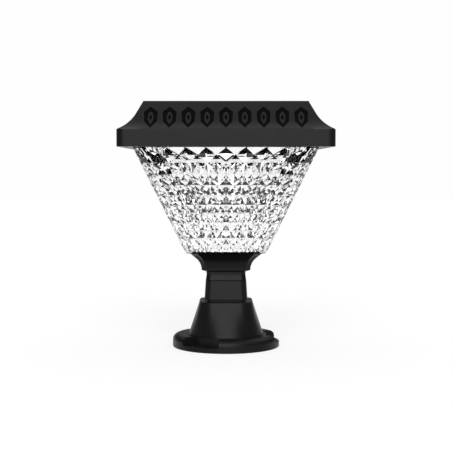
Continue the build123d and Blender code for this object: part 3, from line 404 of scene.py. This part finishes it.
def makeShade(spec):
    tree = facetTree(clearShade)
    lean = (spec["topHalf"] - spec["lowHalf"]) / (spec["high"] - spec["low"])
    reach = spec["wall"] * math.sqrt(1 + lean * lean)
    foot = (spec["lowHalf"], spec["lowLeg"], spec["low"])
    head = (spec["topHalf"], spec["topLeg"], spec["high"])
    well = (spec["lowHalf"] + lean * spec["floor"] - reach, spec["lowLeg"], spec["low"] + spec["floor"])
    mouth = (spec["topHalf"] - reach, spec["topLeg"], spec["high"])
    step = tuple(b - (b - a) / spec["rows"] for a, b in zip(well, mouth))    # where the fine rows end
    skins = [
        cutSkin("shadeOuter", tree, spec, spec["rows"], spec["columns"], foot, head,
                (spec["lowRise"], spec["topRise"]), False),
        cutSkin("shadeFine", tree, spec, spec["fineRows"], spec["fineColumns"], well, step,
                (spec["fineLowRise"], spec["fineTopRise"]), True, spec["fineGrowth"]),
        cutSkin("shadeMouth", tree, spec, 1, spec["columns"], step, mouth, (spec["innerTopRise"],) * 2, True),
    ]
    work = bmesh.new()
    work.from_mesh(skins[2].data)
    # the top row's cells meet two fine cells each, so their lower edges get a middle point
    for edge in list(work.edges):
        ends = [v.co for v in edge.verts]
        level = all(abs(p.z - step[2] * mm) < 2 * weld for p in ends)
        if level and min(abs(ends[0].x - ends[1].x), abs(ends[0].y - ends[1].y)) < 2 * weld:
            bmesh.utils.edge_split(edge, edge.verts[0], 0.5)
    work.from_mesh(skins[0].data)
    work.from_mesh(skins[1].data)
    # from the outer skin up over the collar and the flange, and down to the mouth
    rims = [ringPoints(spec["columns"], half, spec["topLeg"], level) for half, level in (
        (spec["topHalf"], spec["high"]), (spec["collarHalf"], spec["high"]),
        (spec["collarHalf"], spec["collarTop"]), (spec["flangeHalf"], spec["collarTop"]),
        (spec["flangeHalf"], spec["flangeTop"]), (mouth[0], spec["flangeTop"]), (mouth[0], spec["high"]))]
    rings = [[work.verts.new(p) for p in ring] for ring in rims]
    count = len(rims[0])
    for low, high in zip(rings, rings[1:]):
        for k in range(count):
            j = (k + 1) % count
            work.faces.new((low[k], low[j], high[j], high[k]))
    work.faces.new([work.verts.new(p) for p in ringPoints(spec["columns"], *foot)][::-1])
    work.faces.new([work.verts.new(p) for p in ringPoints(spec["fineColumns"], *well)])
    bmesh.ops.remove_doubles(work, verts=work.verts, dist=weld)
    bmesh.ops.recalc_face_normals(work, faces=work.faces)
    print("shade edges left open:", sum(len(edge.link_faces) != 2 for edge in work.edges))
    mesh = bpy.data.meshes.new("facetedShade")
    work.to_mesh(mesh)
    work.free()
    mesh.materials.append(clearShade)
    for old in skins:
        bpy.data.objects.remove(old)
    shade = bpy.data.objects.new("facetedShade", mesh)
    bpy.context.scene.collection.objects.link(shade)
    return shade


facetedShade = makeShade(shadeCut)
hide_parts("lamp_shade")
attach(facetedShade, "lamp")
print("shade:", len(facetedShade.data.polygons), "facets")


# white reflector sheet on the shade's floor, under the heads of its four screws; its glow is painted light for light
# bouncing round inside the shade
reflectorSheet = {
    "half": 42.5, "corner": 8.0, "low": 122.02, "thickness": 0.3,
    "holeLine": 20.0, "holeRadius": 3.1, "holeSides": 24,
}
# the glow here is painted light, not a lamp
reflectorGlowWhite = plainFinish("reflectorGlowWhite", (0.84, 0.84, 0.84), (0.89, 0.89, 0.89), 0.45, glow=0.6)


def makeReflector(spec):
    work = bmesh.new()
    half, cut = spec["half"], spec["corner"]
    loops = [[(half - cut, -half), (half, -half + cut), (half, half - cut), (half - cut, half),
              (-half + cut, half), (-half, half - cut), (-half, -half + cut), (-half + cut, -half)]]
    line, radius = spec["holeLine"], spec["holeRadius"]
    turns = [2 * math.pi * k / spec["holeSides"] for k in range(spec["holeSides"])]
    for x in (-line, line):
        for y in (-line, line):
            loops.append([(x + radius * math.cos(t), y + radius * math.sin(t)) for t in turns])
    edges = []
    for loop in loops:
        ring = [work.verts.new(Vector((x, y, spec["low"])) * mm) for x, y in loop]
        edges += [work.edges.new((ring[k], ring[(k + 1) % len(ring)])) for k in range(len(ring))]
    bmesh.ops.triangle_fill(work, edges=edges, use_beauty=True)
    raised = bmesh.ops.extrude_face_region(work, geom=list(work.faces), use_keep_orig=True)["geom"]
    bmesh.ops.translate(work, verts=[v for v in raised if isinstance(v, bmesh.types.BMVert)],
                        vec=(0, 0, spec["thickness"] * mm))
    bmesh.ops.recalc_face_normals(work, faces=work.faces)
    sheet = meshObject("reflectorSheet", [], [])
    work.to_mesh(sheet.data)
    work.free()
    sheet.data.materials.append(reflectorGlowWhite)
    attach(sheet, "lamp")
    print("reflector sheet:", len(sheet.data.polygons), "faces")


makeReflector(reflectorSheet)


# ornaments in the cap's pockets: a dark bed of painted shade and an oval ring round a diamond hole, bent to the
# flare
capOrnament = {
    "count": 9, "pitch": 21.6, "middle": 280.7, "flareRadius": 43.0, "flareAcross": 141.14, "flareUp": 306.36,
    "bedWidth": 15.4, "bedHeight": 24.4, "bedUpper": 6.4, "bedLower": -5.0, "bedLowShare": 0.92, "bedTop": 1.1,
    "bedFoot": 1.6, "bedSteps": 12, "ringWidth": 7.0, "ringHeight": 12.8, "holeWidth": 3.3, "holeHeight": 6.6,
    "ringTop": 0.15, "ringBevel": 0.3, "ringFoot": 1.3, "ringSides": 24, "ringGrow": (1.1, 1.0, 0.88),
    "holeGrow": (1.12, 1.0, 0.9), "bedPoint": 0.05,
}


def bedSeed(spec):
    points, faces = [], []
    half, upper, lower, share = spec["bedHeight"] / 2, spec["bedUpper"], spec["bedLower"], spec["bedLowShare"]
    top, foot = spec["bedTop"], spec["bedFoot"]
    for step in range(spec["bedSteps"] + 1):
        level = -half + 2 * half * step / spec["bedSteps"]
        if level > upper:
            reach = (half - level) / (half - upper)
        elif level < lower:
            reach = share * (half + level) / (half + lower)
        else:
            reach = share + (1 - share) * (level - lower) / (upper - lower)
        wide = max(reach * spec["bedWidth"] / 2, spec["bedPoint"])
        for across, depth in ((-wide, top), (wide, top), (wide, foot), (-wide, foot)):
            points.append(Vector((across, depth, level)) * mm)
    for step in range(spec["bedSteps"]):
        low = step * 4
        for k in range(4):
            j = (k + 1) % 4
            faces.append((low + k, low + j, low + 4 + j, low + 4 + k))
    faces += [(3, 2, 1, 0), tuple(spec["bedSteps"] * 4 + k for k in range(4))]
    return points, faces


def ringSeed(spec):
    points, faces = [], []
    count, top, foot = spec["ringSides"], spec["ringTop"], spec["ringFoot"]
    bevel = top + spec["ringBevel"]
    rings = [(grow, depth, False) for grow, depth in zip(spec["ringGrow"], (foot, bevel, top))]
    rings += [(grow, depth, True) for grow, depth in zip(spec["holeGrow"], (top, bevel, foot))]
    for grow, depth, hole in rings:
        for k in range(count):
            turn = 2 * math.pi * k / count
            wide, high = math.cos(turn), math.sin(turn)
            if hole:
                square = 1 / (abs(wide) + abs(high))
                wide, high = wide * square * spec["holeWidth"] / 2, high * square * spec["holeHeight"] / 2
            else:
                wide, high = wide * spec["ringWidth"] / 2, high * spec["ringHeight"] / 2
            points.append(Vector((wide * grow, depth, high * grow)) * mm)
    for ring in range(len(rings)):
        for k in range(count):
            j = (k + 1) % count
            up = (ring + 1) % len(rings) * count
            faces.append((ring * count + k, ring * count + j, up + j, up + k))
    return points, faces


def ornamentTree(name, mat):
    tree, enter, out = newTree(name, [("count", "NodeSocketInt"), ("pitch", "NodeSocketFloat"),
                                      ("middle", "NodeSocketFloat"), ("flareRadius", "NodeSocketFloat"),
                                      ("flareAcross", "NodeSocketFloat"), ("flareUp", "NodeSocketFloat")])
    line = tree.nodes.new("GeometryNodeMeshLine")
    line.mode = "OFFSET"
    start = tree.nodes.new("ShaderNodeCombineXYZ")
    step = tree.nodes.new("ShaderNodeCombineXYZ")
    gaps = mathNode(tree, "SUBTRACT", enter.outputs["count"], 1.0)
    first = mathNode(tree, "MULTIPLY", mathNode(tree, "MULTIPLY", gaps, enter.outputs["pitch"]), -0.5)
    tree.links.new(first, start.inputs["X"])
    tree.links.new(enter.outputs["middle"], start.inputs["Z"])
    tree.links.new(enter.outputs["pitch"], step.inputs["X"])
    tree.links.new(enter.outputs["count"], line.inputs["Count"])
    tree.links.new(start.outputs["Vector"], line.inputs["Start Location"])
    tree.links.new(step.outputs["Vector"], line.inputs["Offset"])
    row = tree.nodes.new("GeometryNodeInstanceOnPoints")
    tree.links.new(line.outputs["Mesh"], row.inputs["Points"])
    tree.links.new(enter.outputs["Geometry"], row.inputs["Instance"])
    flat = tree.nodes.new("GeometryNodeRealizeInstances")
    tree.links.new(row.outputs["Instances"], flat.inputs["Geometry"])
    place = tree.nodes.new("GeometryNodeInputPosition")
    split = tree.nodes.new("ShaderNodeSeparateXYZ")
    tree.links.new(place.outputs["Position"], split.inputs["Vector"])
    # the height picks a place on the flare's arc, the depth goes square into it
    sine = mathNode(tree, "DIVIDE", mathNode(tree, "SUBTRACT", enter.outputs["flareUp"], split.outputs["Z"]),
                    enter.outputs["flareRadius"])
    cosine = mathNode(tree, "SQRT", mathNode(tree, "SUBTRACT", 1.0, mathNode(tree, "MULTIPLY", sine, sine)))
    far = mathNode(tree, "ADD", enter.outputs["flareRadius"], split.outputs["Y"])
    bent = tree.nodes.new("ShaderNodeCombineXYZ")
    tree.links.new(split.outputs["X"], bent.inputs["X"])
    tree.links.new(mathNode(tree, "SUBTRACT", mathNode(tree, "MULTIPLY", far, cosine), enter.outputs["flareAcross"]),
                   bent.inputs["Y"])
    tree.links.new(mathNode(tree, "SUBTRACT", enter.outputs["flareUp"], mathNode(tree, "MULTIPLY", far, sine)),
                   bent.inputs["Z"])
    bend = tree.nodes.new("GeometryNodeSetPosition")
    tree.links.new(flat.outputs["Geometry"], bend.inputs["Geometry"])
    tree.links.new(bent.outputs["Vector"], bend.inputs["Position"])
    sides = tree.nodes.new("GeometryNodeJoinGeometry")
    for side in range(4):
        turn = tree.nodes.new("GeometryNodeTransform")
        turn.inputs["Rotation"].default_value = (0, 0, math.radians(90 * side))
        tree.links.new(bend.outputs["Geometry"], turn.inputs["Geometry"])
        tree.links.new(turn.outputs["Geometry"], sides.inputs["Geometry"])
    finishTree(tree, sides.outputs["Geometry"], mat, out)
    return tree


def makeOrnament(name, seed, mat, spec):
    piece = meshObject(name, *seed)
    values = {label: spec[label] * mm for label in ("pitch", "middle", "flareRadius", "flareAcross", "flareUp")}
    runTree(piece, ornamentTree(name, mat), {"count": spec["count"], **values})
    work = bmesh.new()
    work.from_mesh(piece.data)
    bmesh.ops.recalc_face_normals(work, faces=work.faces)
    work.to_mesh(piece.data)
    work.free()
    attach(piece, "lamp")
    print(name, len(piece.data.polygons), "faces")


# a darker, duller copy of the satin black for the beds: painted shade in the pockets
pocketShade = mouldedPlastic("pocketShade", {
    **blackSatin, "tone": (0.0012, 0.0012, 0.0012), "lift": (0.002, 0.002, 0.002), "specular": 0.03,
    "roughLow": 0.65, "roughHigh": 0.75,
})
makeOrnament("ornamentBeds", bedSeed(capOrnament), pocketShade, capOrnament)
makeOrnament("ornamentRings", ringSeed(capOrnament), satinBlack, capOrnament)


# cross-recess screws: a domed head, a plus-shaped recess and a threaded shank
screwSizes = {
    "fine": {"shank": 1.4, "head": 2.7, "headHeight": 1.6}, "wood": {"shank": 2.0, "head": 3.7, "headHeight": 2.6},
    "pitch": 1.1, "root": 0.8, "tip": 0.5, "neck": 0.9, "arm": 0.6, "armWidth": 0.19, "recess": 0.62,
    "recessTaper": 0.86, "recessPoint": 0.9, "sharp": 38.0, "slackTurns": 5,
    "dome": ((0.97, 0.0), (1.0, 0.08), (1.0, 0.45), (0.93, 0.7), (0.8, 0.88), (0.68, 0.97)),
}
screwSets = {
    "base_screws": {"kind": "wood", "length": 14.0, "seat": 53.5, "turn": 180.0,
                    "spots": [(14.722, 8.5), (-14.722, 8.5), (0, -17)]},
    "neck_screws": {"kind": "wood", "length": 14.0, "seat": 80.0, "turn": 180.0,
                    "spots": [(x, y) for x in (-12, 12) for y in (-12, 12)]},
    "shade_screws": {"kind": "fine", "length": 12.0, "seat": 122.0, "turn": 0.0,
                     "spots": [(x, y) for x in (-20, 20) for y in (-20, 20)]},
    "tray_screws": {"kind": "fine", "length": 17.0, "seat": 248.8, "turn": 180.0,
                    "spots": [(x, y) for x in (-70, 70) for y in (-117.3, 117.3)]
                    + [(x, y) for x in (-117.3, 117.3) for y in (-70, 70)]},
    "led_screws": {"kind": "fine", "length": 5.0, "seat": 241.2, "turn": 180.0,
                   "spots": [(x, y) for x in (-65.7, 65.7) for y in (-65.7, 65.7)]},
    "control_screws": {"kind": "fine", "length": 9.3, "seat": 263.6, "turn": 0.0,
                       "spots": [(x, y) for x in (-28.4, 28.4) for y in (12.6, 47.4)]},
    "switch_screws": {"kind": "fine", "length": 5.0, "seat": 259.1, "turn": 0.0,
                      "spots": [(-7.6, 117.3), (7.6, 117.3)]},
}


def screwSeed(spec, kind, length):
    size = spec[kind]
    notch = math.atan(spec["armWidth"] / spec["arm"])
    eighth = (0.0, notch / 2, notch, (notch + math.pi / 4) / 2, math.pi / 4)
    quarter = eighth + tuple(math.pi / 2 - angle for angle in eighth[3:0:-1])
    angles = [angle + math.pi / 2 * turn for turn in range(4) for angle in quarter]

    def plus(angle):
        part = angle % (math.pi / 2)
        part = min(part, math.pi / 2 - part)
        return spec["arm"] / math.cos(part) if part < notch + 0.001 else spec["armWidth"] / math.sin(part)

    shank, head, rise = size["shank"], size["head"], size["headHeight"]
    rings = [(shank * spec["tip"], -length, False)]
    level, crest = -length + shank * spec["tip"], True
    while level < -spec["pitch"] / 2:
        rings.append((shank if crest else shank * spec["root"], level, False))
        level, crest = level + spec["pitch"] / 2, not crest
    rings += [(shank * spec["neck"], 0.0, False)]
    rings += [(head * wide, rise * high, False) for wide, high in spec["dome"]]
    rings += [(head, rise, True), (head * spec["recessTaper"], rise * (1 - spec["recess"]), True)]
    points = []
    for reach, level, cut in rings:
        for angle in angles:
            away = reach * plus(angle) if cut else reach
            points.append(Vector((away * math.cos(angle), away * math.sin(angle), level)) * mm)
    count = len(angles)
    faces = []
    for ring in range(len(rings) - 1):
        for k in range(count):
            j = (k + 1) % count
            faces.append((ring * count + k, ring * count + j, (ring + 1) * count + j, (ring + 1) * count + k))
    points += [Vector((0, 0, -length)) * mm, Vector((0, 0, rise * (spec["recessPoint"] - spec["recess"]))) * mm]
    last = (len(rings) - 1) * count
    for k in range(count):
        j = (k + 1) % count
        faces += [(j, k, len(points) - 2), (last + k, last + j, len(points) - 1)]
    return points, faces


def screwTree(mat):
    tree, enter, out = newTree("screwSet", [("screw", "NodeSocketObject"), ("turn", "NodeSocketFloat"),
                                            ("slackTurns", "NodeSocketInt")])
    seed = tree.nodes.new("GeometryNodeObjectInfo")
    tree.links.new(enter.outputs["screw"], seed.inputs["Object"])
    slack = tree.nodes.new("FunctionNodeRandomValue")    # each recess stops at its own angle
    slack.inputs[3].default_value = math.pi / 2    # the float maximum
    tree.links.new(enter.outputs["slackTurns"], slack.inputs["Seed"])
    tilt = tree.nodes.new("ShaderNodeCombineXYZ")
    tree.links.new(enter.outputs["turn"], tilt.inputs["X"])
    tree.links.new(slack.outputs[1], tilt.inputs["Z"])
    place = tree.nodes.new("GeometryNodeInstanceOnPoints")
    tree.links.new(enter.outputs["Geometry"], place.inputs["Points"])
    tree.links.new(seed.outputs["Geometry"], place.inputs["Instance"])
    tree.links.new(tilt.outputs["Vector"], place.inputs["Rotation"])
    finishTree(tree, place.outputs["Instances"], mat, out)
    return tree


def makeScrews(node, spec, sizes, tree):
    seed = meshObject(node + "Seed", *screwSeed(sizes, spec["kind"], spec["length"]))
    for face in seed.data.polygons:
        face.use_smooth = True
    seed.data.set_sharp_from_angle(angle=math.radians(sizes["sharp"]))
    name = node.replace("_screws", "Screws")
    screws = meshObject(name, [Vector((x, y, spec["seat"])) * mm for x, y in spec["spots"]], [])
    runTree(screws, tree, {"screw": seed, "turn": math.radians(spec["turn"]), "slackTurns": sizes["slackTurns"]})
    bpy.data.objects.remove(seed)
    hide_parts(node)
    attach(screws, "lamp")
    print(name, len(screws.data.polygons), "faces")


screwSet = screwTree(screwSteel)
for node, spec in screwSets.items():
    makeScrews(node, spec, screwSizes, screwSet)


# floor, studio and camera
studio = {
    "skyTone": 0.99, "skyLow": 5.0, "skyHigh": 8.0, "skyDark": 0.003,
    "flagIn": 0.45, "flagOut": 0.7, "flagTone": 0.05,
    "glassLow": 3.0, "glassHigh": 5.0, "glassFlagIn": 0.46, "glassFlagOut": 0.55, "glassFlagTone": 0.01,
    "domeLow": 28.0, "domeHigh": 46.0, "domeSide": 0.04, "domeTop": 0.9, "ceilingShare": 1.4,
    "floorReach": 6.0, "floorGlow": 0.715, "floorMatt": 0.3, "floorFleck": 9.0, "fleckShare": 0.995,
    "bounceTone": 0.2,
    "lens": 88.9, "eye": (0.0, -1.392, 0.2247), "aim": (0.0, 0.0, 0.150),
}


def makeFloor(spec):
    far = spec["floorReach"]
    floor = meshObject("paleFloor", [(-far, -far, 0), (far, -far, 0), (far, far, 0), (-far, far, 0)], [(0, 1, 2, 3)])
    mat, tree, shader = newMaterial("paleFloor")
    fleck = noiseAt(tree, objectCoords(tree), spec["floorFleck"], 2.0)
    path = tree.nodes.new("ShaderNodeLightPath")
    shown = mathNode(tree, "MAXIMUM", path.outputs["Is Camera Ray"], path.outputs["Is Glossy Ray"])
    shown = mathNode(tree, "MAXIMUM", shown, path.outputs["Is Transmission Ray"])
    matt = spec["floorMatt"]
    pale = mixColours(tree, spread(tree, fleck, 0.0, 1.0), (matt,) * 3, (matt * spec["fleckShare"],) * 3)
    tree.links.new(mixColours(tree, shown, (spec["bounceTone"],) * 3, pale), shader.inputs["Base Color"])
    shader.inputs["Emission Color"].default_value = (1, 1, 1, 1)
    tree.links.new(mathNode(tree, "MULTIPLY", shown, spec["floorGlow"]), shader.inputs["Emission Strength"])
    shader.inputs["Roughness"].default_value = 0.8
    shader.inputs["Specular IOR Level"].default_value = 0.1
    floor.data.materials.append(mat)


def makeStudio(spec):
    world = bpy.data.worlds.new("studio")
    bpy.context.scene.world = world
    world.use_nodes = True
    tree = world.node_tree
    back = tree.nodes["Background"]
    coords = tree.nodes.new("ShaderNodeTexCoord")
    split = tree.nodes.new("ShaderNodeSeparateXYZ")
    tree.links.new(coords.outputs["Generated"], split.inputs["Vector"])
    path = tree.nodes.new("ShaderNodeLightPath")
    aside = mathNode(tree, "ABSOLUTE", split.outputs["X"])

    # a pale backdrop under a dark ceiling, with dark flags to the left and right
    def backdrop(low, high, flagIn, flagOut, flagTone):
        wall = spread(tree, split.outputs["Z"], spec["skyTone"], spec["skyDark"],
                      math.sin(math.radians(low)), math.sin(math.radians(high)))
        return mathNode(tree, "MULTIPLY", wall, spread(tree, aside, 1.0, flagTone, flagIn, flagOut))

    gloss = backdrop(spec["skyLow"], spec["skyHigh"], spec["flagIn"], spec["flagOut"], spec["flagTone"])
    glass = backdrop(spec["glassLow"], spec["glassHigh"], spec["glassFlagIn"], spec["glassFlagOut"],
                     spec["glassFlagTone"])
    # what lights matt surfaces: a broad soft ceiling, little from the sides
    dome = spread(tree, split.outputs["Z"], spec["domeSide"], spec["domeTop"],
                  math.sin(math.radians(spec["domeLow"])), math.sin(math.radians(spec["domeHigh"])))
    gloss = mathNode(tree, "ADD", gloss, mathNode(tree, "MULTIPLY", dome, spec["ceilingShare"]))
    # matt surfaces behind clear plastic are lit by the dome too
    bare = mathNode(tree, "LESS_THAN", path.outputs["Diffuse Depth"], 0.5)
    mirror = mathNode(tree, "MULTIPLY", path.outputs["Is Glossy Ray"], bare)
    through = mathNode(tree, "MULTIPLY", path.outputs["Is Transmission Ray"], bare)
    rest = mathNode(tree, "SUBTRACT", 1.0, mathNode(tree, "MAXIMUM", mirror, through))
    strength = mathNode(tree, "MULTIPLY", rest, dome)
    strength = mathNode(tree, "ADD", strength, mathNode(tree, "MULTIPLY", mirror, gloss))
    strength = mathNode(tree, "ADD", strength, mathNode(tree, "MULTIPLY", through, glass))
    seen = path.outputs["Is Camera Ray"]
    strength = mathNode(tree, "MULTIPLY", strength, mathNode(tree, "SUBTRACT", 1.0, seen))
    strength = mathNode(tree, "ADD", strength, mathNode(tree, "MULTIPLY", seen, spec["skyTone"]))
    tree.links.new(strength, back.inputs["Strength"])
    back.inputs["Color"].default_value = (1, 1, 1, 1)


# one broad front light, far enough away to fall evenly on the floor
frontLight = {"height": 24.0, "turn": 0.0, "spread": 54.0, "strength": 2.9}


def makeFrontLight(spec):
    lamp = bpy.data.lights.new("frontLight", "SUN")
    lamp.energy = spec["strength"]
    lamp.angle = math.radians(spec["spread"])
    light = bpy.data.objects.new("frontLight", lamp)
    bpy.context.scene.collection.objects.link(light)
    light.rotation_euler = (math.radians(90 - spec["height"]), 0.0, math.radians(spec["turn"]))
    light.visible_transmission = False    # the clear shade shows the room, not the lamp


def makeCamera(spec):
    lens = bpy.data.cameras.new("camera")
    lens.lens = spec["lens"]
    lens.sensor_width = 36.0
    camera = bpy.data.objects.new("camera", lens)
    bpy.context.scene.collection.objects.link(camera)
    camera.location = spec["eye"]
    camera.rotation_euler = (Vector(spec["aim"]) - Vector(spec["eye"])).to_track_quat("-Z", "Y").to_euler()
    bpy.context.scene.camera = camera


makeFloor(studio)
makeStudio(studio)
makeFrontLight(frontLight)
makeCamera(studio)
bpy.context.scene.view_settings.view_transform = "Standard"
print("studio ready")
